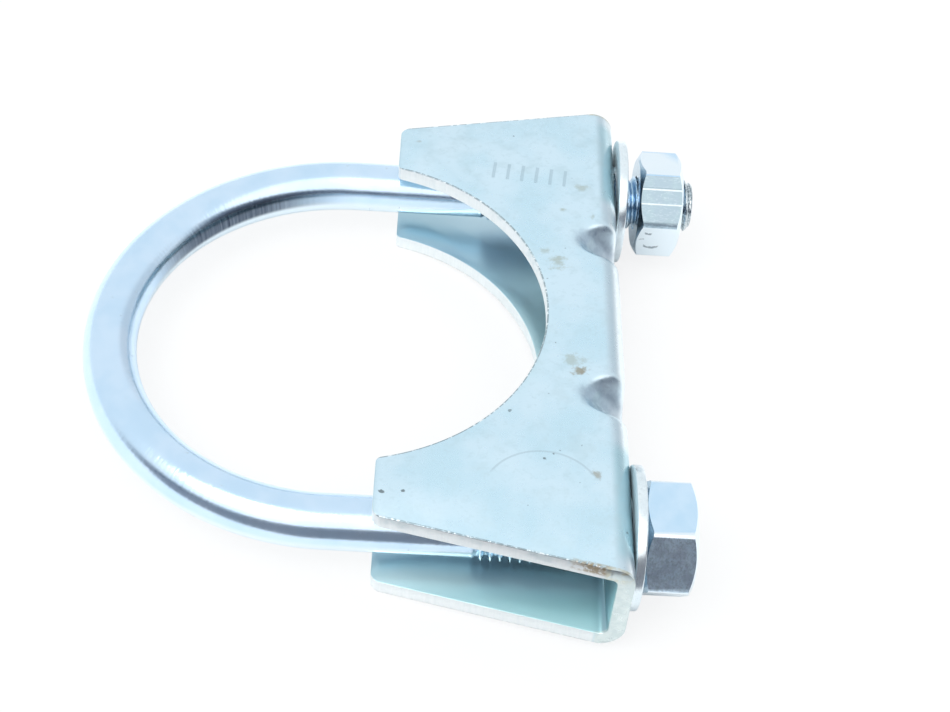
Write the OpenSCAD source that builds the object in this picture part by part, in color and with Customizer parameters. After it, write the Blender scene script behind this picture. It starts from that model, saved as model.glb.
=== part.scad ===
// U-bolt exhaust clamp: a folded saddle, a bent U-bolt, two plain washers and two hexagon nuts.
// All sizes are in millimetres. The origin is on the pipe's axis at the middle of the saddle's height.
// X runs from the pipe through the web to the nuts, Y runs across the two legs, Z runs along the pipe.

/* [Pipe] */
// Outside diameter of the pipe that the clamp closes on
pipe_d = 56;
// [48:1:64]

/* [Saddle] */
// Thickness of the sheet
sheet_t = 2.2;
// [1.6:0.1:2.8]
// Inside radius of the two folds
fold_r = 1.1;
// [0.8:0.1:1.8]
// Height of the channel over both flanges
channel_h = 16;
// [15:0.5:22]
// Distance from the bottom of the cut-out to the inside of the web
throat = 8.4;
// [6.5:0.1:14]
// Distance from the pipe's middle plane to the blunt tips
tip_gap = 6.3;
// [4:0.1:10]
// Width of each blunt tip
tip_w = 9;
// [6:0.5:12]
// Radius of the tip's outer corner
tip_r = 1.3;
// [0.6:0.1:2]
// Radius of the corner between the tip and the cut-out
arc_corner_r = 0.8;
// [0.4:0.1:1.4]
// Distance from a hole's centre to the end of the web
web_end = 10.9;
// [8:0.1:14]
// Diameter that each hole in the web is larger than the thread
hole_play = 2.4;
// [0.8:0.1:2.8]

/* [Pressed darts] */
// Distance between the centres of the two darts on a fold
dart_span = 29.2;
// [20:0.2:34]
// Radius of the tool that presses a dart
dart_r = 3.1;
// [2:0.1:3.4]
// Depth of a dart at the middle of the fold
dart_depth = 3.1;
// [1:0.1:3.2]
// Share of the sheet's thickness that is left in a pressed dart
dart_thin = 0.8;
// [0.6:0.05:1]

/* [U-bolt] */
// Diameter of the plain rod
rod_d = 7.2;
// [6:0.1:7.6]
// Clearance between the rod and the pipe around the bend
rod_play = 0.1;
// [0.05:0.05:0.5]
// Outside diameter of the thread
thread_d = 8;
// [7.8:0.1:8.6]
// Distance that the thread reaches inwards from the outside of the web
thread_reach = 19.4;
// [14:0.2:26]
// Length of the cone where the thread runs out
runout = 1;
// [0.5:0.1:2]
// Chamfer on the legs' ends
end_chamfer = 0.8;
// [0.4:0.1:1.2]
// Length of the front leg that is missing from its nut's outer countersink
front_sunk = 0.4;
// [0:0.1:2]
// Length of the rear leg that stands out of its nut
rear_out = 1.9;
// [0:0.1:8]

/* [Washers] */
// Outside diameter of a washer
washer_d = 18.5;
// [15:0.5:20]
// Diameter that the washer's bore is larger than the thread
washer_play = 0.4;
// [0.2:0.1:1]
// Thickness of a washer
washer_t = 1.3;
// [1:0.1:2]
// Air between the web and the front washer
front_seat = 0.15;
// [0.1:0.05:0.5]
// Air between the web and the rear washer
rear_seat = 0.4;
// [0.1:0.05:1]

/* [Nuts] */
// Width across the nut's flats
nut_af = 14;
// [13:0.5:15]
// Height of a nut
nut_h = 6.5;
// [5:0.1:8]
// Diameter that the nut's bore is larger than the thread
nut_play = 0.1;
// [0.06:0.02:0.2]
// Share of the width across flats that stays flat on the nut's end faces
nut_face = 0.95;
// [0.9:0.01:0.98]
// Angle of the chamfer on the nut's corners
nut_chamfer_a = 30;
// [15:1:35]
// Depth of the countersink at each end of the nut's bore
countersink = 0.5;
// [0.3:0.1:0.9]
// Air between the front washer and its nut
front_air = 0.15;
// [0.1:0.05:1]
// Air between the rear washer and its nut
rear_air = 2.1;
// [0.1:0.1:4]
// How far the front nut is turned
front_turn = -28;
// [-30:1:30]
// How far the rear nut is turned
rear_turn = 13;
// [-30:1:30]

/* [Hidden] */
$fn = 96;

// room past a face for cuts that go through it
past = 1;
pipe_r = pipe_d / 2;
web_in = pipe_r + throat;
web_x = web_in + sheet_t;
fold_out = fold_r + sheet_t;
fold_x = web_x - fold_out;
fold_z = channel_h / 2 - fold_out;
leg_y = pipe_r + rod_play + rod_d / 2;
web_half = leg_y + web_end;
hole_d = thread_d + hole_play;
washer_bore = thread_d + washer_play;
nut_bore = thread_d + nut_play;
nut_corner = nut_af / 2 / cos(30);

washer_front_x = web_x + front_seat;
washer_rear_x = web_x + rear_seat;
nut_front_x = washer_front_x + washer_t + front_air;
nut_rear_x = washer_rear_x + washer_t + rear_air;
leg_front_x = nut_front_x + nut_h - front_sunk;
leg_rear_x = nut_rear_x + nut_h + rear_out;
thread_x = web_x - thread_reach;

// corner between the tip and the cut-out: its circle touches the tip's edge and the pipe's circle
arc_c = [tip_gap + arc_corner_r, sqrt(pow(pipe_r + arc_corner_r, 2) - pow(tip_gap + arc_corner_r, 2))];
arc_a = atan2(arc_c[1], arc_c[0]);
// outer corner of the tip and the slanted edge that leaves it
tip_y = sqrt(pow(pipe_r, 2) - pow(tip_gap, 2)) + tip_w;
slant_a = atan2(web_half - tip_y, fold_x - tip_gap);
tip_c = [tip_gap + tip_r, tip_y - tip_r * tan((90 - slant_a) / 2)];
corner_steps = 8;

// Outline of the channel in X and Z, drawn inwards from the sheet's outer side by inset
module channel_outline(inset, r, from_x) {
    x1 = web_x - inset;
    h = channel_h / 2 - inset;
    translate([from_x, -h]) square([x1 - r - from_x, 2 * h]);
    translate([from_x, r - h]) square([x1 - from_x, 2 * (h - r)]);
    for (s = [-1, 1]) translate([x1 - r, s * (h - r)]) circle(r);
}

// Straight length of a channel outline along Y
module channel_run(inset, r, from_x) {
    rotate([90, 0, 0])
        linear_extrude(2 * (web_half + past), center = true)
            channel_outline(inset, r, from_x);
}

// Points of a corner's arc around c, from angle a0 to a1
function arc(c, r, a0, a1) =
    [for (i = [0 : corner_steps]) let (a = a0 + (a1 - a0) * i / corner_steps) c + r * [cos(a), sin(a)]];

// The flange's plan on the side of positive Y, from the cut-out round the tip to the web
half_plan = concat(
    arc(arc_c, arc_corner_r, arc_a + 180, 180),
    arc(tip_c, tip_r, 180, 90 + slant_a),
    [[fold_x, web_half], [web_x + past, web_half]]
);

module plan() {
    difference() {
        polygon(concat(half_plan, [for (i = [len(half_plan) - 1 : -1 : 0]) [half_plan[i][0], -half_plan[i][1]]]));
        circle(pipe_r, $fn = 240);
    }
}

// Rod along the line on which a dart's tool is pressed, across the fold at 45 degrees
module dart_rod(r, sy, sz) {
    reach = channel_h;
    away = fold_out - dart_depth + dart_r;
    translate([fold_x, sy * dart_span / 2, sz * fold_z])
        rotate([0, -45 * sz, 0])
            translate([away, 0, 0])
                cylinder(h = 2 * reach, r = r, center = true);
}

module saddle() {
    color("lightsteelblue")
    difference() {
        intersection() {
            union() {
                difference() {
                    channel_run(0, fold_out, 0);
                    channel_run(sheet_t, fold_r, -past);
                }
                // inner side of each dart
                intersection() {
                    channel_run(sheet_t / 2, fold_r + sheet_t / 2, 0);
                    for (sy = [-1, 1], sz = [-1, 1]) dart_rod(dart_r + dart_thin * sheet_t, sy, sz);
                }
            }
            linear_extrude(channel_h + 2 * past, center = true) plan();
        }
        for (sy = [-1, 1], sz = [-1, 1]) dart_rod(dart_r, sy, sz);
        for (s = [-1, 1])
            translate([fold_x - sheet_t / 2, s * leg_y, 0])
                rotate([0, 90, 0])
                    cylinder(h = fold_out + sheet_t / 2 + past, d = hole_d);
    }
}

// One leg from the bend's end to end_x: plain rod, thread run-out, thread and end chamfer
module leg(end_x) {
    rotate([0, 90, 0])
        rotate_extrude()
            polygon([
                [0, 0],
                [rod_d / 2, 0],
                [rod_d / 2, thread_x - runout],
                [thread_d / 2, thread_x],
                [thread_d / 2, end_x - end_chamfer],
                [thread_d / 2 - end_chamfer, end_x],
                [0, end_x]
            ]);
}

module u_bolt() {
    color("silver")
    union() {
        rotate([0, 0, 90])
            rotate_extrude(angle = 180, $fn = 180)
                translate([leg_y, 0]) circle(d = rod_d, $fn = 64);
        translate([0, -leg_y, 0]) leg(leg_front_x);
        translate([0, leg_y, 0]) leg(leg_rear_x);
    }
}

module washer() {
    rotate([0, 90, 0])
        difference() {
            cylinder(h = washer_t, d = washer_d);
            translate([0, 0, -past]) cylinder(h = washer_t + 2 * past, d = washer_bore);
        }
}

module washer_front() {
    color("gainsboro") translate([washer_front_x, -leg_y, 0]) washer();
}

module washer_rear() {
    color("gainsboro") translate([washer_rear_x, leg_y, 0]) washer();
}

module nut(turn) {
    face_r = nut_face * nut_af / 2;
    rim_r = nut_corner + countersink;
    drop = (rim_r - face_r) * tan(nut_chamfer_a);
    rotate([turn, 0, 0])
        rotate([0, 90, 0])
            difference() {
                intersection() {
                    cylinder(h = nut_h, r = nut_corner, $fn = 6);
                    rotate_extrude()
                        polygon([
                            [0, 0],
                            [face_r, 0],
                            [rim_r, drop],
                            [rim_r, nut_h - drop],
                            [face_r, nut_h],
                            [0, nut_h]
                        ]);
                }
                rotate_extrude()
                    polygon([
                        [0, -past],
                        [nut_bore / 2 + countersink + past, -past],
                        [nut_bore / 2, countersink],
                        [nut_bore / 2, nut_h - countersink],
                        [nut_bore / 2 + countersink + past, nut_h + past],
                        [0, nut_h + past]
                    ]);
            }
}

module nut_front() {
    color("lightgrey") translate([nut_front_x, -leg_y, 0]) nut(front_turn);
}

module nut_rear() {
    color("lightgrey") translate([nut_rear_x, leg_y, 0]) nut(rear_turn);
}

saddle();
u_bolt();
washer_front();
washer_rear();
nut_front();
nut_rear();
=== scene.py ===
"""U-bolt exhaust clamp: zinc-plated saddle, threaded U-bolt, washers and nuts on a pale table."""
import math

import bpy
from mathutils import Matrix, Vector


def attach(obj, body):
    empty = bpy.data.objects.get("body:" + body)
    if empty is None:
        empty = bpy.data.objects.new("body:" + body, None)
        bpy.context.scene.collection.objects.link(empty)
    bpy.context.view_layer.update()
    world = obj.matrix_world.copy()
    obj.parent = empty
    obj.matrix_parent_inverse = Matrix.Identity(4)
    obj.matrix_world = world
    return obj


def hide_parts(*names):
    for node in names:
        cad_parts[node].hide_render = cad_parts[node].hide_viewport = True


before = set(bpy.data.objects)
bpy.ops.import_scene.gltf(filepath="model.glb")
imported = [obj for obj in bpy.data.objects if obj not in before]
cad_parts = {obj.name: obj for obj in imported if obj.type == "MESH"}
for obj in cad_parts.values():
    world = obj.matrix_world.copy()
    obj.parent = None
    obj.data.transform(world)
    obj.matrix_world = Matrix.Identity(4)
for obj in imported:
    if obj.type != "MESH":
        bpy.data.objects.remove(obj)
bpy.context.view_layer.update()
MM = 0.001

# Sizes in millimetres, as the solids have them
PIPE_R = 28.0
SHEET = 2.2
FOLD_OUT = 3.3
HALF_H = 8.0
WEB_X = 38.6
WEB_IN = WEB_X - SHEET
FOLD_X = WEB_X - FOLD_OUT
FOLD_Z = HALF_H - FOLD_OUT
TIP_X = 6.3
TIP_Y = 36.282
TIP_INNER_Y = 27.282
TIP_R = 1.3
ARC_CORNER_R = 0.7
RIM_BEVEL = 0.15
WEB_Y = 42.6
LEG_Y = 31.7
HOLE_R = 5.2
DART_Y = 14.6
DART_R = 3.1
DART_DEPTH = 3.1
DART_WALL = 1.76
# the darts are pressed into a finer net, which starts at this X and reaches this far on both sides
DART_NET_X = 29.2
DART_NET_HALF = 5.8
# share of the tool's radius after which a dart's side becomes a straight ramp, and its slope
DART_ROUND = 0.97
DART_RAMP = 3.9
ROD_R = 3.6
THREAD_R = 4.0
THREAD_X = 19.2
PITCH = 1.25
THREAD_DEPTH = 0.72
END_FRONT = 46.3
END_REAR = 50.8
END_CHAMFER = 0.8
RINGS_PER_MM = 11.2
LEG_PARTS = 5
NUT_AF = 14.0
NUT_H = 6.5
NUT_BORE_R = 4.05
NUT_FACE = 0.95
NUT_CHAMFER = 30
NUT_CORNER_BEVEL = 0.65
WASHER_R = 9.25
WASHER_BORE_R = 4.2
WASHER_T = 1.3
WASHER_FRONT_X = 38.75
WASHER_REAR_X = 39.0
NUT_FRONT_X = 40.2
NUT_REAR_X = 42.4
NUT_FRONT_TURN = -28.0
NUT_REAR_TURN = 13.0


def select_only(obj):
    bpy.ops.object.select_all(action="DESELECT")
    obj.select_set(True)
    bpy.context.view_layer.objects.active = obj


def smooth_step(low, high, value):
    share = min(max((value - low) / (high - low), 0.0), 1.0)
    return share * share * (3 - 2 * share)


def soft_min(a, b, width):
    """The smaller of two lengths, with a rounded change-over of the given width."""
    share = min(max(0.5 + 0.5 * (b - a) / width, 0.0), 1.0)
    return b + (a - b) * share - width * share * (1 - share)


def in_edit(obj, mode="EDGE"):
    select_only(obj)
    bpy.ops.object.mode_set(mode="EDIT")
    bpy.ops.mesh.select_mode(type=mode)


def out_of_edit():
    bpy.ops.object.mode_set(mode="OBJECT")


def pick(obj, kind, test):
    """Selects the parts of the mesh that pass the test, in millimetres, and stays in edit mode."""
    bpy.ops.object.mode_set(mode="OBJECT")
    mesh = obj.data
    for group in (mesh.vertices, mesh.edges, mesh.polygons):
        group.foreach_set("select", [False] * len(group))
    if kind == "EDGE":
        for edge in mesh.edges:
            ends = [mesh.vertices[i].co / MM for i in edge.vertices]
            edge.select = bool(test(*ends))
    elif kind == "FACE":
        for face in mesh.polygons:
            face.select = bool(test(face.center / MM, face.normal))
    else:
        for vertex in mesh.vertices:
            vertex.select = bool(test(vertex.co / MM))
    bpy.ops.object.mode_set(mode="EDIT")
    bpy.ops.mesh.select_mode(type=kind)


def settle(obj, name):
    """Puts the piece's place into its mesh and gives it its name."""
    select_only(obj)
    bpy.ops.object.transform_apply(location=True, rotation=True, scale=True)
    obj.name = name
    obj.data.name = name
    return obj


def finish_modifier(obj, kind, **settings):
    select_only(obj)
    modifier = obj.modifiers.new("step", kind)
    for key, value in settings.items():
        setattr(modifier, key, value)
    bpy.ops.object.modifier_apply(modifier=modifier.name)


def carve(obj, tool, how="DIFFERENCE"):
    finish_modifier(obj, "BOOLEAN", operation=how, object=tool, solver="EXACT")
    bpy.data.objects.remove(tool)


def round_bar(radius, length, place, turn, sides):
    bpy.ops.mesh.primitive_cylinder_add(
        vertices=sides,
        radius=radius * MM,
        depth=length * MM,
        location=[v * MM for v in place],
        rotation=turn,
    )
    return settle(bpy.context.object, "bar")


def smooth(obj, degrees):
    select_only(obj)
    bpy.ops.object.shade_smooth_by_angle(angle=math.radians(degrees))


# ---------------------------------------------------------------- saddle
def press_darts(point):
    """A point of the sheet after the corner darts are pressed."""
    for sy in (-1, 1):
        away = abs(point.y - sy * DART_Y)
        if away > DART_NET_HALF - 0.1 or point.x < DART_NET_X + 0.1:
            continue
        sz = 1 if point.z > 0 else -1
        diagonal = (point.x - FOLD_X + (abs(point.z) - FOLD_Z)) / math.sqrt(2)
        # how deep in the sheet the point lies: 0 outside, 1 inside
        dx = point.x - FOLD_X
        dz = abs(point.z) - FOLD_Z
        if dx > 0 and dz > 0:
            deep = (FOLD_OUT - math.hypot(dx, dz)) / SHEET
        elif dz > dx:
            deep = (HALF_H - abs(point.z)) / SHEET
        else:
            deep = (WEB_X - point.x) / SHEET
        deep = min(max(deep, 0.0), 1.0)
        radius = DART_R + DART_WALL * deep
        middle = FOLD_OUT - DART_DEPTH + DART_R
        edge = radius * DART_ROUND
        if away < edge:
            floor = middle - math.sqrt(radius * radius - away * away)
        else:
            floor = middle - math.sqrt(radius * radius - edge * edge) + DART_RAMP * (away - edge)
        down = diagonal - soft_min(diagonal, floor, 0.9 + 0.3 * deep)
        if down > 0:
            step = down / math.sqrt(2)
            return Vector((point.x - step, point.y, point.z - sz * step))
    return point


def make_saddle():
    wide = 2 * WEB_Y
    bpy.ops.mesh.primitive_cube_add(size=1, location=((WEB_X + TIP_X) / 2 * MM, 0, 0))
    sheet = bpy.context.object
    sheet.scale = ((WEB_X - TIP_X) * MM, wide * MM, 2 * HALF_H * MM)
    settle(sheet, "saddle_sheet")
    in_edit(sheet)
    pick(sheet, "FACE", lambda c, n: n.x < -0.9 or abs(n.y) > 0.9)
    bpy.ops.mesh.delete(type="FACE")
    pick(sheet, "EDGE", lambda a, b: min(a.x, b.x) > WEB_X - 0.1 and abs(a.z - b.z) < 0.1)
    bpy.ops.mesh.bevel(offset=FOLD_OUT * MM, segments=14, clamp_overlap=False)
    out_of_edit()
    finish_modifier(sheet, "SOLIDIFY", thickness=SHEET * MM, offset=-1, use_even_offset=True)

    carve(sheet, round_bar(PIPE_R, 30, (0, 0, 0), (0, 0, 0), 224))
    # the slanted end meets the web's end just inside the fold
    slant = Vector((FOLD_X + 0.18 - TIP_X, WEB_Y - TIP_Y, 0)).normalized()
    for side in (1, -1):
        in_edit(sheet, "FACE")
        bpy.ops.mesh.select_all(action="SELECT")
        bpy.ops.mesh.bisect(
            plane_co=(TIP_X * MM, side * TIP_Y * MM, 0),
            plane_no=(-slant.y, side * slant.x, 0),
            use_fill=True,
            clear_outer=True,
            threshold=1e-7,
        )
        out_of_edit()
    in_edit(sheet)

    def round_tips(y, near, radius, segments):
        """Rounds the upright edges of the tips that stand at the given distance from the middle."""

        def upright(a, b):
            at_tip = max(a.x, b.x) < TIP_X + 0.05 and abs(abs(a.y) - y) < near
            return at_tip and abs(a.z - b.z) > 1

        pick(sheet, "EDGE", upright)
        bpy.ops.mesh.bevel(
            offset=radius * MM, offset_type="OFFSET", segments=segments, clamp_overlap=False
        )

    round_tips(TIP_Y, 0.1, TIP_R, 8)
    round_tips(TIP_INNER_Y, 0.2, ARC_CORNER_R, 6)
    out_of_edit()
    for side in (1, -1):
        carve(sheet, round_bar(HOLE_R, 8, (WEB_X + 0.7, side * LEG_Y, 0), (0, math.pi / 2, 0), 72))

    # the cut rims lose their sharp edge
    in_edit(sheet)
    bpy.ops.mesh.select_all(action="DESELECT")
    bpy.ops.mesh.edges_select_sharp(sharpness=math.radians(50))
    bpy.ops.mesh.bevel(offset=RIM_BEVEL * MM, segments=2, clamp_overlap=False)

    # a finer net where the darts are pressed
    low, high = DART_Y - DART_NET_HALF, DART_Y + DART_NET_HALF
    steps_x, steps_y, steps_z = 18, 34, 12

    def cut(place, way):
        """Cuts every face that shows, and leaves them all selected."""
        bpy.ops.mesh.select_all(action="SELECT")
        bpy.ops.mesh.bisect(plane_co=[v * MM for v in place], plane_no=way, threshold=1e-7)
        bpy.ops.mesh.select_all(action="SELECT")

    out_of_edit()
    in_edit(sheet, "FACE")
    cut((DART_NET_X, 0, 0), (1, 0, 0))
    pick(sheet, "FACE", lambda c, n: c.x > DART_NET_X)
    bpy.ops.mesh.hide(unselected=True)
    for y in (-high, -low, low, high):
        cut((0, y, 0), (0, 1, 0))
    bpy.ops.mesh.reveal(select=False)
    pick(sheet, "FACE", lambda c, n: c.x > DART_NET_X and low < abs(c.y) < high)
    bpy.ops.mesh.hide(unselected=True)
    for side in (-1, 1):
        for i in range(1, steps_y):
            cut((0, side * (low + (high - low) * i / steps_y), 0), (0, 1, 0))
    for i in range(1, steps_x):
        cut((DART_NET_X + (FOLD_X - DART_NET_X) * i / steps_x, 0, 0), (1, 0, 0))
    for i in range(1 - steps_z, steps_z):
        cut((0, 0, FOLD_Z * i / steps_z), (0, 0, 1))
    bpy.ops.mesh.reveal(select=False)
    out_of_edit()
    for vertex in sheet.data.vertices:
        vertex.co = press_darts(vertex.co / MM) * MM
    in_edit(sheet, "VERT")
    pick(
        sheet,
        "VERT",
        lambda v: v.x > DART_NET_X + 0.7 and low + 0.6 < abs(v.y) < high - 0.6 and abs(v.z) > 1.4,
    )
    bpy.ops.mesh.vertices_smooth(factor=0.5, repeat=8)
    out_of_edit()
    smooth(sheet, 32)
    return sheet


# ---------------------------------------------------------------- U-bolt
def thread_radius(x, turn, end):
    """Radius of the leg at a place along it and at an angle round it, for a right-hand thread."""
    across = (x / PITCH - turn / (2 * math.pi)) % 1.0
    crest = abs(across - 0.5) * PITCH
    flank = min(max((crest - PITCH / 16) * math.tan(math.radians(60)), 0.0), THREAD_DEPTH)
    radius = THREAD_R - flank
    start = smooth_step(THREAD_X - 0.7, THREAD_X + 1.3, x)
    radius = ROD_R + (radius - ROD_R) * start
    chamfer = THREAD_R - max(0.0, x - (end - END_CHAMFER))
    return min(radius, chamfer)


def make_u_bolt():
    bpy.ops.mesh.primitive_circle_add(
        vertices=56, radius=ROD_R * MM, location=(0, -LEG_Y * MM, 0), rotation=(0, math.pi / 2, 0)
    )
    rod = settle(bpy.context.object, "u_bolt_rod")
    in_edit(rod, "VERT")
    bpy.ops.mesh.select_all(action="SELECT")
    bpy.ops.mesh.spin(steps=120, angle=math.pi, center=(0, 0, 0), axis=(0, 0, 1))
    bpy.ops.mesh.select_all(action="SELECT")
    bpy.ops.mesh.remove_doubles(threshold=1e-6)
    begin = THREAD_X - 1.0
    for side, end in ((-1, END_FRONT), (1, END_REAR)):
        pick(rod, "EDGE", lambda a, b: min(a.x, b.x) > -0.01 and min(a.y * side, b.y * side) > 0)
        bpy.ops.mesh.extrude_region_move(TRANSFORM_OT_translate={"value": (begin * MM, 0, 0)})
        length = (end - begin) / LEG_PARTS
        for _ in range(LEG_PARTS):
            bpy.ops.mesh.extrude_region_move(TRANSFORM_OT_translate={"value": (length * MM, 0, 0)})
        pick(
            rod,
            "EDGE",
            lambda a, b: min(a.x, b.x) > begin - 0.05
            and abs(a.x - b.x) > 1
            and min(a.y * side, b.y * side) > 0,
        )
        bpy.ops.mesh.subdivide(number_cuts=round(length * RINGS_PER_MM))
        pick(
            rod,
            "EDGE",
            lambda a, b: min(a.x, b.x) > end - 0.01 and min(a.y * side, b.y * side) > 0,
        )
        bpy.ops.mesh.edge_face_add()
        bpy.ops.mesh.inset(thickness=1.6 * MM)
        bpy.ops.mesh.inset(thickness=0.5 * MM, depth=-0.12 * MM)
        bpy.ops.mesh.inset(thickness=0.7 * MM, depth=-0.1 * MM)
    out_of_edit()
    for vertex in rod.data.vertices:
        x, y, z = vertex.co / MM
        if x < begin - 0.05:
            continue
        side, end = (-1, END_FRONT) if y < 0 else (1, END_REAR)
        off_y = y - side * LEG_Y
        out = math.hypot(off_y, z)
        if out < 1e-4:
            continue
        radius = thread_radius(x, math.atan2(z, off_y), end)
        radius *= out / ROD_R
        vertex.co.y = (side * LEG_Y + off_y / out * radius) * MM
        vertex.co.z = z / out * radius * MM
    in_edit(rod, "FACE")
    bpy.ops.mesh.select_all(action="SELECT")
    bpy.ops.mesh.normals_make_consistent(inside=False)
    out_of_edit()
    smooth(rod, 40)
    return rod


# ---------------------------------------------------------------- nuts and washers
def make_nut(x, y, turn, name):
    corner = NUT_AF / 2 / math.cos(math.radians(30))
    bpy.ops.mesh.primitive_cylinder_add(
        vertices=6, radius=corner * MM, depth=NUT_H * MM, rotation=(0, 0, math.pi / 2)
    )
    nut = settle(bpy.context.object, name)
    # the turned envelope, wider than the nut's corners, that rounds them at both ends
    face = NUT_FACE * NUT_AF / 2
    wide = 9
    bpy.ops.mesh.primitive_cylinder_add(vertices=96, radius=wide * MM, depth=NUT_H * MM)
    turned = settle(bpy.context.object, "turned")
    drop = (wide - face) * math.tan(math.radians(NUT_CHAMFER))
    in_edit(turned)
    for side in (-1, 1):
        pick(turned, "FACE", lambda c, n: n.z * side > 0.9)
        bpy.ops.transform.resize(value=(face / wide, face / wide, 1))
    pick(turned, "EDGE", lambda a, b: abs(a.z - b.z) > 1)
    bpy.ops.mesh.subdivide(number_cuts=2)
    out_of_edit()
    for vertex in turned.data.vertices:
        level = vertex.co.z / MM
        if abs(level) < NUT_H / 2 - 0.1:
            vertex.co.z = math.copysign(NUT_H / 2 - drop, level) * MM
            flat = math.hypot(vertex.co.x, vertex.co.y)
            vertex.co.x *= wide * MM / flat
            vertex.co.y *= wide * MM / flat
    carve(nut, turned, "INTERSECT")
    carve(nut, round_bar(NUT_BORE_R, 20, (0, 0, 0), (0, 0, 0), 64))
    for side in (-1, 1):
        bpy.ops.mesh.primitive_cone_add(
            vertices=64,
            radius1=(NUT_BORE_R + 1.5) * MM,
            radius2=(NUT_BORE_R - 0.5) * MM,
            depth=2 * MM,
            location=(0, 0, side * (NUT_H / 2 + 0.5) * MM),
            rotation=(0, 0 if side < 0 else math.pi, 0),
        )
        carve(nut, settle(bpy.context.object, "sink"))
    in_edit(nut)
    bpy.ops.mesh.select_all(action="SELECT")
    bpy.ops.mesh.remove_doubles(threshold=2e-6)
    # the six corners are worn round, the other edges only broken
    pick(nut, "EDGE", lambda a, b: abs(a.z - b.z) > 3 and math.hypot(a.x, a.y) > 7.5)
    bpy.ops.mesh.bevel(offset=NUT_CORNER_BEVEL * MM, segments=6, clamp_overlap=True)
    bpy.ops.mesh.select_all(action="DESELECT")
    bpy.ops.mesh.edges_select_sharp(sharpness=math.radians(18))
    bpy.ops.mesh.bevel(offset=0.1 * MM, segments=2, clamp_overlap=True)
    out_of_edit()
    nut.data.transform(
        Matrix.Translation(Vector((x + NUT_H / 2, y, 0)) * MM)
        @ Matrix.Rotation(math.radians(turn), 4, "X")
        @ Matrix.Rotation(math.pi / 2, 4, "Y")
    )
    smooth(nut, 30)
    return nut


def make_washer(x, y, name):
    bpy.ops.mesh.primitive_cylinder_add(
        vertices=128,
        radius=WASHER_R * MM,
        depth=WASHER_T * MM,
        location=((x + WASHER_T / 2) * MM, y * MM, 0),
        rotation=(0, math.pi / 2, 0),
    )
    washer = settle(bpy.context.object, name)
    carve(washer, round_bar(WASHER_BORE_R, 6, (x, y, 0), (0, math.pi / 2, 0), 72))
    in_edit(washer)
    bpy.ops.mesh.select_all(action="DESELECT")
    bpy.ops.mesh.edges_select_sharp(sharpness=math.radians(40))
    bpy.ops.mesh.bevel(offset=0.22 * MM, segments=4, clamp_overlap=True)
    out_of_edit()
    smooth(washer, 35)
    return washer


# ---------------------------------------------------------------- finishes
class Link:
    """A shader value that Python's operators work on."""

    def __init__(self, tree, socket):
        self.tree = tree
        self.socket = socket

    def calc(self, operation, *values):
        return self.tree.node("Math", {"operation": operation}, dict(enumerate(values)))

    def __add__(self, other):
        return self.calc("ADD", self, other)

    __radd__ = __add__

    def __sub__(self, other):
        return self.calc("SUBTRACT", self, other)

    def __rsub__(self, other):
        return self.calc("SUBTRACT", other, self)

    def __mul__(self, other):
        return self.calc("MULTIPLY", self, other)

    __rmul__ = __mul__

    def __truediv__(self, other):
        return self.calc("DIVIDE", self, other)

    def __abs__(self):
        return self.calc("ABSOLUTE", self)

    def above(self, edge, width):
        """0 below the edge and 1 above it, with a soft step of the given width."""
        return self.tree.node(
            "MapRange",
            {"interpolation_type": "SMOOTHSTEP"},
            {0: self, 1: edge - width / 2, 2: edge + width / 2, 3: 0.0, 4: 1.0},
        )

    def below(self, edge, width):
        return 1 - self.above(edge, width)

    def largest(self, other):
        return self.calc("MAXIMUM", self, other)

    def root(self):
        return self.calc("SQRT", self)


class Tree:
    """The nodes of a material or of the world, empty at first."""

    def __init__(self, owner):
        owner.use_nodes = True
        self.nodes = owner.node_tree.nodes
        self.links = owner.node_tree.links
        self.nodes.clear()

    def node(self, kind, settings, inputs, output=0):
        made = self.nodes.new("ShaderNode" + kind)
        for key, value in settings.items():
            setattr(made, key, value)
        for key, value in inputs.items():
            if isinstance(value, Link):
                self.links.new(value.socket, made.inputs[key])
            else:
                made.inputs[key].default_value = value
        return Link(self, made.outputs[output]) if made.outputs else None

    def colour(self, share, first, second):
        return self.node("Mix", {"data_type": "RGBA"}, {0: share, 6: first, 7: second}, 2)

    def axes(self, vector):
        return (self.node("SeparateXYZ", {}, {0: vector}, axis) for axis in "XYZ")


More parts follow.
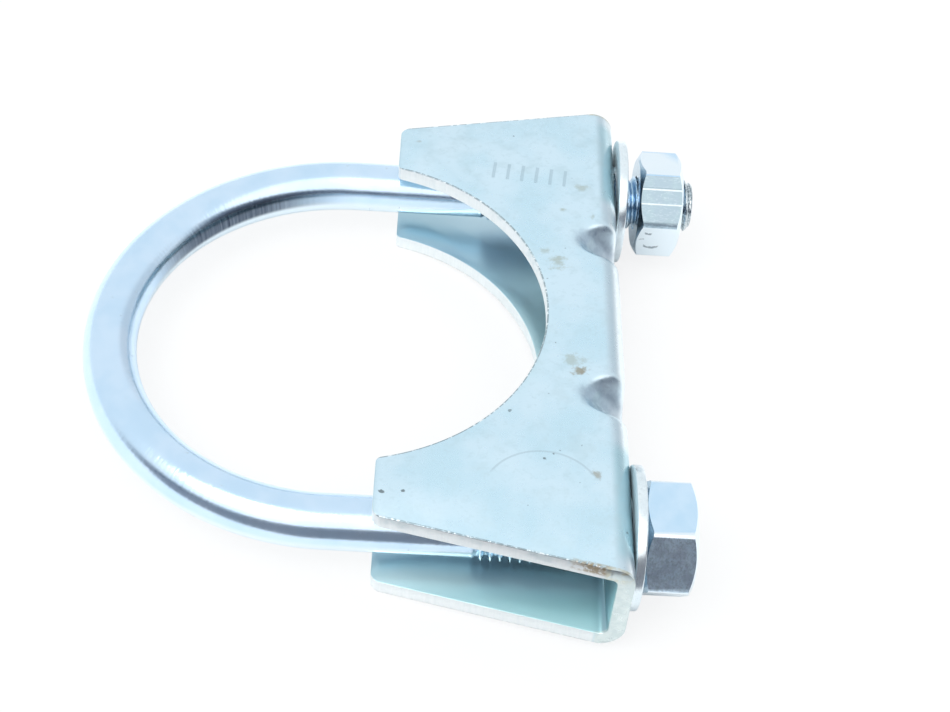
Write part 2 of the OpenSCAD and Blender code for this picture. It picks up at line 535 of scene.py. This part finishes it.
class Finish(Tree):
    """One metal finish: x, y and z in millimetres, nx and nz of the surface's facing."""

    def __init__(self, name):
        self.material = bpy.data.materials.new(name)
        super().__init__(self.material)
        where = self.node("TexCoord", {}, {}, "Object")
        self.place = self.node("VectorMath", {"operation": "SCALE"}, {0: where, 3: 1 / MM})
        self.x, self.y, self.z = self.axes(self.place)
        self.nx, _, self.nz = self.axes(self.node("TexCoord", {}, {}, "Normal"))

    def noise(self, scale, detail=3.0, stretch=(1, 1, 1), shift=0.0, rough=0.55):
        """Cloudy pattern about 0.5, with the given number of lumps in a millimetre."""
        where = self.node(
            "Mapping", {}, {0: self.place, 1: (shift, shift * 0.7, shift * 1.3), 3: stretch}
        )
        return self.node(
            "TexNoise",
            {},
            {"Vector": where, "Scale": scale, "Detail": detail, "Roughness": rough},
        )

    def spot(self, x, y, half_x, half_y, ragged, edge=0.9):
        """1 in the middle of a stain on the sheet, 0 outside it."""
        dx = (self.x - x) / half_x
        dy = (self.y - y) / half_y
        out = (dx * dx + dy * dy).root() + (ragged - 0.5) * 3.2
        return out.below(1.1 - edge / 2, edge)

    def coat(self, colour, rough, height, strength, depth):
        """Ends the material as bare metal with a fine relief, whose depth is in millimetres."""
        relief = {"Height": height, "Strength": strength, "Distance": depth * MM}
        metal = {
            "Base Color": colour,
            "Metallic": 1.0,
            "Roughness": rough,
            "Normal": self.node("Bump", {}, relief, "Normal"),
        }
        self.node("OutputMaterial", {}, {0: self.node("BsdfPrincipled", {}, metal)})

    def give(self, obj, slot):
        obj.data.materials.clear()
        obj.data.materials.append(self.material)


def rgb(red, green, blue):
    return (red, green, blue, 1.0)


OLIVE = rgb(0.42, 0.45, 0.36)
BROWN = rgb(0.33, 0.27, 0.17)
# stains on the upper flange: x, y, half length, half width, colour and strength
STAINS = (
    (33.4, 25.3, 1.1, 0.9, OLIVE, 0.55),
    (29.6, 9.3, 1.5, 1.8, OLIVE, 0.6),
    (27.6, 11.6, 0.9, 0.8, OLIVE, 0.45),
    (32.1, -11.0, 1.2, 0.9, BROWN, 0.8),
    (31.2, -9.0, 1.6, 1.3, OLIVE, 0.5),
    (33.9, -28.1, 0.7, 0.8, BROWN, 0.6),
    (30.4, 20.4, 0.5, 0.4, OLIVE, 0.6),
    (34.8, 19.4, 0.4, 0.6, OLIVE, 0.5),
    (9.1, 33.6, 0.5, 0.4, BROWN, 0.3),
)
# small dark pits on the upper flange: x, y and half width
PITS = ((7.3, -32.6, 0.33), (10.0, -32.3, 0.22), (27.4, -26.0, 0.3), (28.6, -25.2, 0.22))
# strokes on the rear nut's lower flat: x from the nut's inner end, place down the flat,
# half length, curve and half width
STROKES = (
    (1.7, -1.9, 0.5, -0.7, 0.10),
    (2.5, 1.6, 1.1, -0.35, 0.14),
    (0.9, -0.7, 0.35, 1.0, 0.02),
)


def saddle_finish():
    f = Finish("zinc_sheet")
    cloud = f.noise(0.11, 3)
    grain = f.noise(1.3, 2, shift=3.0)
    fine = f.noise(2.8, 0, shift=8.0)
    colour = f.colour(cloud.above(0.5, 0.34), rgb(0.62, 0.81, 0.90), rgb(0.71, 0.86, 0.94))
    colour = f.colour(grain.above(0.62, 0.2) * 0.3, colour, rgb(0.56, 0.70, 0.76))

    # inside of the channel: painted shade, darker and greener, with painted light towards the rear
    # end
    across = (f.x * f.x + f.y * f.y).root()
    inner_z = abs(f.z).below(6.4, 0.5) * abs(f.nz).above(0.5, 0.3)
    inner_x = f.x.below(WEB_IN + 0.8, 0.6) * f.nx.below(-0.25, 0.3)
    inner = inner_z.largest(inner_x)
    rear_inside_light = f.y.above(4.0, 12.0) * f.x.above(15.0, 9.0)
    inside_shade_and_light = f.colour(rear_inside_light, rgb(0.60, 0.79, 0.81), rgb(0.80, 0.96, 0.98))
    # painted reflection of the legs: darker blue on the lower flange beside them
    leg_reflection = abs(abs(f.y) - 28.5).below(6.0, 6.0) * f.x.below(28.0, 12.0)
    inside_shade_and_light = f.colour(leg_reflection * 0.6, inside_shade_and_light, rgb(0.34, 0.50, 0.62))
    # painted shade in the inner creases of the folds
    crease_shade = f.x.above(FOLD_X, 2.0) * abs(f.z).above(FOLD_Z - 0.1, 1.6)
    inside_shade_and_light = f.colour(crease_shade * 0.6, inside_shade_and_light, rgb(0.32, 0.47, 0.52))
    colour = f.colour(inner, colour, inside_shade_and_light)
    # outside of the bend: painted grey shade where it turns, then painted pale as a reflection of
    # the bright room
    bend = f.nx.above(0.22, 0.3) * f.x.above(35.2, 0.8)
    colour = f.colour(bend * 0.6, colour, rgb(0.62, 0.72, 0.78))
    colour = f.colour(f.nx.above(0.62, 0.3) * f.x.above(36.5, 0.8), colour, rgb(0.86, 0.92, 0.94))
    # painted shade and reflection of the washers: dark teal on the bend beside them
    washer_shade_on_bend = abs(abs(f.y) - LEG_Y).below(8.6, 2.4) * f.x.above(36.2, 1.2) * abs(f.z).above(2.0, 3.0)
    colour = f.colour(washer_shade_on_bend * 0.75, colour, rgb(0.44, 0.67, 0.74))

    # sheared edges: pale, with lines down the thickness
    wall = abs(f.nz).below(0.45, 0.3) * f.x.below(34.8, 0.4)
    shear = f.noise(2.2, 3, stretch=(1.6, 1.6, 0.12), shift=5.0)
    colour = f.colour(wall, colour, f.colour(shear, rgb(0.86, 0.89, 0.89), rgb(0.98, 0.98, 0.97)))

    # burr along the rims: a painted dark reflection line with painted bright glints, over a burr
    # relief
    specks = f.noise(1.9, 3, shift=11.0)
    rim_z = abs(abs(f.z) - (HALF_H - 0.05)).below(0.12, 0.1)
    rim_arc = abs(across - (PIPE_R + 0.12)).below(0.10, 0.10) * rim_z
    slope = (WEB_Y - TIP_Y) / (FOLD_X - TIP_X)
    end = (abs(f.y) - TIP_Y - (f.x - TIP_X) * slope) / math.hypot(1, slope)
    rim_end = abs(end + 0.12).below(0.10, 0.10) * rim_z * f.x.below(FOLD_X - 0.3, 1.0)
    rim = rim_arc.largest(rim_end)
    colour = f.colour(rim * specks.above(0.45, 0.22) * 0.75, colour, rgb(0.22, 0.27, 0.29))
    colour = f.colour(rim * specks.below(0.41, 0.08), colour, rgb(0.95, 0.97, 0.97))

    # stains
    ragged = f.noise(0.9, 5, shift=20.0, rough=0.65)
    top = f.z.above(6.5, 0.6)
    for x, y, half_x, half_y, tint, share in STAINS:
        colour = f.colour(f.spot(x, y, half_x, half_y, ragged) * top * share, colour, tint)
    # light wash of dull patches over the front half
    dull = f.noise(0.28, 4, shift=31.0).above(0.6, 0.2) * top
    colour = f.colour(dull * 0.3, colour, rgb(0.53, 0.66, 0.70))
    # small dark pits
    pits = f.noise(0.8, 1, shift=40.0).above(0.79, 0.04) * top
    colour = f.colour(pits * 0.7, colour, rgb(0.20, 0.25, 0.27))
    for x, y, half in PITS:
        pit = f.spot(x, y, half, half, grain, 0.6) * top
        colour = f.colour(pit * 0.85, colour, rgb(0.16, 0.19, 0.20))
    # rust where the plating is thin on the front end
    rust_line = end.above(-0.5, 0.4) * f.y.below(0.0, 1.0) * f.x.above(31.0, 4.0) * top
    colour = f.colour(rust_line * ragged.above(0.5, 0.16) * 0.75, colour, rgb(0.36, 0.24, 0.09))
    web_end = abs(f.y).above(WEB_Y - 0.4, 0.3) * f.x.above(FOLD_X - 0.5, 0.6)
    patches = ragged.above(0.5, 0.2)
    bare = f.colour(patches, rgb(0.66, 0.73, 0.72), rgb(0.74, 0.80, 0.78))
    colour = f.colour(web_end, colour, bare)
    rusty = web_end * f.z.above(5.6, 2.0) * patches
    colour = f.colour(rusty * 0.6, colour, rgb(0.50, 0.42, 0.24))

    # plain stamped bars where the size mark stands
    along = (f.x - 20.4) * 0.995 + (f.y - 28.0) * -0.1
    up = (f.y - 28.2) * 0.995 + (f.x - 20.4) * 0.1
    turn = f.node("Math", {"operation": "PINGPONG"}, {0: along, 1: 1.05})
    bars = turn.below(0.22, 0.16) * abs(up).below(1.7, 0.25)
    bars = bars * abs(along - 5.2).below(5.5, 0.2) * top
    colour = f.colour(bars * 0.5, colour, rgb(0.40, 0.52, 0.58))

    # arc-shaped drag mark
    arc_x = f.x - 27.2
    arc_y = f.y + 32.5
    mark = abs((arc_x * arc_x + arc_y * arc_y).root() - 7.6).below(0.14, 0.14)
    mark = mark * f.y.above(-28.5, 1.0) * top
    colour = f.colour(mark * 0.45, colour, rgb(0.45, 0.55, 0.60))

    # pressed darts are scuffed, and painted with shade on each dart's +Y side
    scuffed = f.noise(1.3, 4, shift=50.0)
    dart_x = (f.x - WEB_IN) / 5.0
    dart_y = (abs(f.y) - DART_Y) / 3.0
    dart = ((dart_x * dart_x + dart_y * dart_y).root() + (ragged - 0.5) * 0.5).below(0.85, 0.5)
    dart = dart * abs(f.z).above(2.5, 2.5)
    worn = f.colour(scuffed.above(0.5, 0.3), rgb(0.42, 0.52, 0.61), rgb(0.70, 0.81, 0.88))
    dart_side_shade = (f.y - f.y / abs(f.y) * DART_Y).above(-0.2, 1.6)
    worn = f.colour(dart_side_shade * 0.6, worn, rgb(0.20, 0.26, 0.36))
    colour = f.colour(dart * 0.65, colour, worn)

    rough = 0.30 + (cloud - 0.5) * 0.10 + (grain - 0.5) * 0.18 * (1 - inner) + wall * 0.26
    rough = rough + inner * 0.05 + dull * 0.08 + dart * 0.08
    height = (grain * 0.35 + fine * 0.12) * (1 - inner * 0.98) + cloud * 0.8
    height = height + wall * shear * 0.8 - bars * 1.6 - pits * 0.7 + dart * scuffed * 0.9
    height = height + rim * specks * 1.0 - mark * 0.5
    f.coat(colour, rough, height, 0.5, 0.06)
    return f


def rod_finish():
    f = Finish("zinc_rod")
    cloud = f.noise(0.16, 3)
    fine = f.noise(3.2, 3, shift=6.0)
    streak = f.noise(1.2, 3, stretch=(0.25, 1, 1), shift=2.0)
    colour = f.colour(cloud.above(0.5, 0.4), rgb(0.61, 0.78, 0.94), rgb(0.69, 0.83, 0.97))
    # painted reflection: the underside is painted with the paper's white
    colour = f.colour(f.nz.below(-0.05, 0.3) * 0.75, colour, rgb(0.88, 0.94, 0.96))
    marks = f.noise(0.9, 3, stretch=(1.0, 1.0, 0.4), shift=14.0).above(0.72, 0.06)
    colour = f.colour(marks * 0.4, colour, rgb(0.42, 0.50, 0.56))

    # fine ribs across the rod from drawing and bending, counted along its middle line
    angle = f.node("Math", {"operation": "ARCTAN2"}, {0: abs(f.y), 1: f.x}) - math.pi / 2
    along = angle.largest(0.0) * LEG_Y - f.x.largest(0.0)
    ribs = f.node("TexNoise", {"noise_dimensions": "1D"}, {"W": along, "Scale": 1.9, "Detail": 2.0})
    patchy = f.noise(0.35, 3, shift=33.0).above(0.5, 0.3)
    ribs = (ribs - 0.5) * (0.25 + patchy * 0.7)

    # the inner side of the bend is painted with dark shade towards the rear leg
    around = (f.x * f.x + f.y * f.y).root()
    inner_bend_shade = around.below(LEG_Y - 3.0, 0.6) * angle.above(0.25, 0.6) * angle.below(1.15, 0.5)
    inner_bend_shade = inner_bend_shade * f.y.above(3.0, 8.0) * f.z.above(-0.5, 0.9) * (0.92 + ribs * 0.5)
    colour = f.colour(inner_bend_shade * 0.95, colour, rgb(0.045, 0.055, 0.085))

    # painted shade: the thread roots are painted darker
    off_y = abs(f.y) - LEG_Y
    out = (off_y * off_y + f.z * f.z).root()
    threaded = f.x.above(THREAD_X - 0.3, 0.6)
    root = threaded * out.below(3.75, 0.5)
    colour = f.colour(root * 0.6, colour, rgb(0.24, 0.38, 0.52))
    # the rear leg's end has lost its blue
    tip = f.x.above(NUT_REAR_X + 6.7, 0.4)
    grey = f.colour(fine.above(0.5, 0.2), rgb(0.30, 0.33, 0.33), rgb(0.74, 0.77, 0.76))
    colour = f.colour(tip * 0.8, colour, grey)
    rough = 0.2 + (fine - 0.5) * 0.14 + (streak - 0.5) * 0.08 + marks * 0.12 + ribs * 0.12
    height = fine * 0.35 + streak * 0.4 + ribs * 1.5 * (1 - threaded) - marks * 0.5
    f.coat(colour, rough, height, 0.5, 0.035)
    return f


def nut_finish():
    f = Finish("zinc_nut")
    cloud = f.noise(0.3, 3)
    mottle = f.noise(2.3, 5, stretch=(1.3, 1, 1), shift=7.0, rough=0.68)
    lines = f.noise(0.8, 1, stretch=(0.02, 1.2, 1.2), shift=4.0)
    rear = f.y.above(0.0, 1.0)
    blotch = f.noise(0.55, 4, stretch=(1.0, 1, 1), shift=17.0)
    scratch = f.noise(1.1, 3, stretch=(0.5, 2.0, 0.9), shift=23.0)
    # the flats that lay against the drawing die are scuffed and painted darker as shade, the ones
    # that look up stay bright
    scuffed = f.nz.below(0.86, 0.16) * f.nz.above(0.0, 0.16) * abs(f.nx).below(0.3, 0.2)
    colour = f.colour(cloud.above(0.5, 0.4), rgb(0.60, 0.79, 0.95), rgb(0.68, 0.84, 0.98))
    # painted reflection: the undersides are painted with the paper's white
    colour = f.colour(f.nz.below(-0.02, 0.1), colour, rgb(0.84, 0.91, 0.95))
    # painted shade on the chamfers that face -X, painted light on those that face +X
    colour = f.colour(f.nx.below(-0.6, 0.3) * 0.8, colour, rgb(0.40, 0.50, 0.58))
    colour = f.colour(f.nx.above(0.6, 0.3) * 0.8, colour, rgb(0.86, 0.91, 0.93))
    colour = f.colour(scuffed * 0.5, colour, rgb(0.56, 0.63, 0.69))
    # painted shade: the rear nut's middle flat is painted darker
    slanted = f.nz.above(0.6, 0.1) * f.nz.below(0.84, 0.1) * rear
    colour = f.colour(scuffed * slanted * 0.8, colour, rgb(0.30, 0.38, 0.42))
    colour = f.colour(scuffed * blotch.above(0.5, 0.2) * 0.5, colour, rgb(0.33, 0.38, 0.48))
    colour = f.colour(scuffed * rear * 0.3, colour, rgb(0.40, 0.56, 0.60))
    colour = f.colour(scuffed * mottle.above(0.52, 0.14) * 0.55, colour, rgb(0.36, 0.46, 0.51))
    hair = abs(scratch - 0.5).below(0.012, 0.016)
    colour = f.colour(scuffed * hair * 0.22, colour, rgb(0.88, 0.93, 0.96))
    # two bright lines drawn along the rear nut's middle flat, and a dark one at its lower corner
    across = (f.y - LEG_Y) * -0.731 + f.z * -0.682
    drawn = abs(across + 1.5).below(0.13, 0.12).largest(abs(across - 0.7).below(0.11, 0.12)) * rear
    colour = f.colour(scuffed * drawn * (0.2 + mottle * 0.8), colour, rgb(0.90, 0.95, 0.96))
    low = abs(across + 1.72).below(0.08, 0.1).largest(abs(across - 3.5).below(0.16, 0.16)) * rear
    colour = f.colour(scuffed * low * 0.5, colour, rgb(0.20, 0.27, 0.31))
    # dark strokes of a tool low on the rear nut
    down = (f.y - LEG_Y) * 0.225 + f.z * -0.974
    ragged = f.noise(1.1, 4, shift=91.0, rough=0.7)
    strokes = 0
    for x, v, half, curve, width in STROKES:
        off = f.x - (NUT_REAR_X + x)
        line = abs(down - v - off * off * curve + (ragged - 0.5) * 1.3)
        line = line.below(width + ragged * 0.2, 0.14)
        strokes = strokes + line * abs(off).below(half, 0.3)
    colour = f.colour(strokes * rear * f.nz.below(0.0, 0.1) * 0.8, colour, rgb(0.20, 0.24, 0.27))
    # short dark nicks on the front nut's lower flat
    nick = abs(f.noise(0.75, 2, stretch=(1.2, 0.5, 0.7), shift=83.0) - 0.5).below(0.02, 0.03)
    colour = f.colour(scuffed * nick * (1 - rear) * 0.3, colour, rgb(0.22, 0.26, 0.33))
    # painted highlight: a bright line along a rounded corner
    corner = f.nz.above(0.60, 0.16) * f.nz.below(0.975, 0.03) * (1 - rear)
    corner = corner.largest(f.nz.above(0.978, 0.012) * rear) * abs(f.nx).below(0.3, 0.2)
    colour = f.colour(corner * 0.85, colour, rgb(0.93, 0.97, 0.99))
    scuffed = scuffed * (1 - corner)
    rough = 0.15 + scuffed * 0.22 + (mottle - 0.5) * (0.05 + scuffed * 0.3) + (lines - 0.5) * 0.06
    height = mottle * (0.15 + scuffed * 0.9) + scuffed * (blotch * 1.2 + drawn * 0.6) + cloud * 0.3
    f.coat(colour, rough, height, 0.45, 0.04)
    return f


def washer_finish():
    f = Finish("zinc_washer")
    cloud = f.noise(0.25, 3, shift=1.0)
    grain = f.noise(2.4, 4, shift=9.0)
    drawn = f.noise(2.0, 3, stretch=(0.12, 1, 1), shift=12.0)
    colour = f.colour(cloud.above(0.5, 0.4), rgb(0.78, 0.85, 0.88), rgb(0.88, 0.93, 0.95))
    colour = f.colour(grain.above(0.62, 0.2) * 0.25, colour, rgb(0.55, 0.62, 0.66))
    dull = f.nx.below(-0.7, 0.3)
    rough = 0.24 + (grain - 0.5) * 0.14 + (drawn - 0.5) * 0.1 + dull * 0.3
    f.coat(colour, rough, grain * 0.3 + drawn * 0.4, 0.35, 0.03)
    return f


saddle = make_saddle()
u_bolt = make_u_bolt()
washer_front = make_washer(WASHER_FRONT_X, -LEG_Y, "washer_front_plate")
washer_rear = make_washer(WASHER_REAR_X, LEG_Y, "washer_rear_plate")
nut_front = make_nut(NUT_FRONT_X, -LEG_Y, NUT_FRONT_TURN, "nut_front_hex")
nut_rear = make_nut(NUT_REAR_X, LEG_Y, NUT_REAR_TURN, "nut_rear_hex")

zinc_sheet = saddle_finish()
zinc_rod = rod_finish()
zinc_nut = nut_finish()
zinc_washer = washer_finish()
for piece, node, finish, slot in (
    (saddle, "saddle", zinc_sheet, "zinc_sheet"),
    (u_bolt, "u_bolt", zinc_rod, "zinc_rod"),
    (washer_front, "washer_front", zinc_washer, "zinc_washer"),
    (washer_rear, "washer_rear", zinc_washer, "zinc_washer"),
    (nut_front, "nut_front", zinc_nut, "zinc_nut"),
    (nut_rear, "nut_rear", zinc_nut, "zinc_nut"),
):
    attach(piece, node)
    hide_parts(node)
    finish.give(piece, slot)


# ---------------------------------------------------------------- table, light and camera
# the clamp rests on the lower flange's tips and, this far away, on the washers' rims
TIP_TO_WASHER = 33.2
TABLE_Z = -8.02
PAPER_GLOW = 0.8
# place of the photograph's camera in millimetres, its yaw, pitch and roll in degrees
CAMERA_PLACE = (11.69, -156.66, 168.58)
CAMERA_TURN = (2.576, -47.429, 5.093)
# focal length and width of the photograph in pixels
FOCAL_PX = 1648.36
PHOTO_WIDE = 950
SENSOR = 36


def set_table():
    slope = math.atan2(WASHER_R - HALF_H, TIP_TO_WASHER)
    bpy.ops.mesh.primitive_plane_add(
        size=2.4, location=(TIP_X * MM, 0, TABLE_Z * MM), rotation=(0, slope, 0)
    )
    table = bpy.context.object
    table.name = "table"
    paper = bpy.data.materials.new("white_paper")
    t = Tree(paper)
    matt = t.node("BsdfDiffuse", {}, {"Color": rgb(0.93, 0.95, 0.96)})
    glow = t.node("Emission", {}, {"Color": rgb(1, 1, 1)})
    seen = t.node("LightPath", {}, {}, "Is Camera Ray")
    mixed = t.node("MixShader", {}, {0: seen * PAPER_GLOW, 1: matt, 2: glow})
    t.node("OutputMaterial", {}, {0: mixed})
    table.data.materials.append(paper)


def set_surroundings():
    """A bright room with a dark side, which the metal mirrors; the camera itself sees white."""
    world = bpy.data.worlds.new("studio")
    bpy.context.scene.world = world
    t = Tree(world)
    dx, dy, dz = t.axes(t.node("TexCoord", {}, {}, "Generated"))
    # a broad lamp over the front, dark room low in front of the table
    lamp = dz.above(0.42, 0.2) * dy.below(-0.12, 0.2) * abs(dx).below(0.75, 0.3)
    dark = (dz - dx.largest(0.0) * 0.25).below(0.36, 0.14) * dy.below(-0.15, 0.5)
    colour = t.colour(lamp, rgb(0.90, 0.96, 1.0), rgb(1.45, 1.45, 1.45))
    colour = t.colour(dark, colour, rgb(0.15, 0.17, 0.22))
    grey = dz.below(0.5, 0.2) * dx.above(0.35, 0.3) * dy.above(0.2, 0.4)
    colour = t.colour(grey, colour, rgb(0.70, 0.74, 0.78))
    seen = t.node("LightPath", {}, {}, "Is Camera Ray")
    colour = t.colour(seen, colour, rgb(1, 1, 1))
    back = t.node("Background", {}, {"Color": colour, "Strength": 1.0})
    t.node("OutputWorld", {}, {0: back})


def set_card():
    """A dark card in front of the clamp, seen only in reflections."""
    bpy.ops.mesh.primitive_plane_add(
        size=1, location=(10 * MM, -58 * MM, 2.6 * MM), rotation=(math.pi / 2, 0, 0)
    )
    card = bpy.context.object
    card.name = "front_card"
    card.scale = (0.24, 0.0235, 1)
    tone = bpy.data.materials.new("dark_card")
    t = Tree(tone)
    dull = {"Base Color": rgb(0.26, 0.26, 0.29), "Roughness": 0.8}
    t.node("OutputMaterial", {}, {0: t.node("BsdfPrincipled", {}, dull)})
    card.data.materials.append(tone)
    card.visible_camera = False
    card.visible_shadow = False
    card.visible_diffuse = False


def set_lamp():
    bpy.ops.object.light_add(type="AREA", location=(-0.35, -0.3, 0.8))
    key = bpy.context.object
    key.data.shape = "DISK"
    key.data.size = 0.6
    key.data.energy = 2.5
    key.rotation_euler = (-Vector(key.location)).to_track_quat("-Z", "Y").to_euler()


def set_camera():
    yaw, pitch, roll = (math.radians(v) for v in CAMERA_TURN)
    level = math.cos(pitch)
    ahead = Vector((math.sin(yaw) * level, math.cos(yaw) * level, math.sin(pitch)))
    right = Vector((math.cos(yaw), -math.sin(yaw), 0))
    up = right.cross(ahead)
    right, up = (
        math.cos(roll) * right + math.sin(roll) * up,
        -math.sin(roll) * right + math.cos(roll) * up,
    )
    data = bpy.data.cameras.new("photo_view")
    data.sensor_width = SENSOR
    data.lens = FOCAL_PX / PHOTO_WIDE * SENSOR
    data.clip_start = 0.005
    data.clip_end = 20
    camera = bpy.data.objects.new("photo_view", data)
    bpy.context.scene.collection.objects.link(camera)
    turn = Matrix((right, up, -ahead)).transposed().to_4x4()
    camera.matrix_world = Matrix.Translation(Vector(CAMERA_PLACE) * MM) @ turn
    bpy.context.scene.camera = camera


set_table()
set_surroundings()
set_card()
set_lamp()
set_camera()
bpy.context.scene.view_settings.view_transform = "Standard"
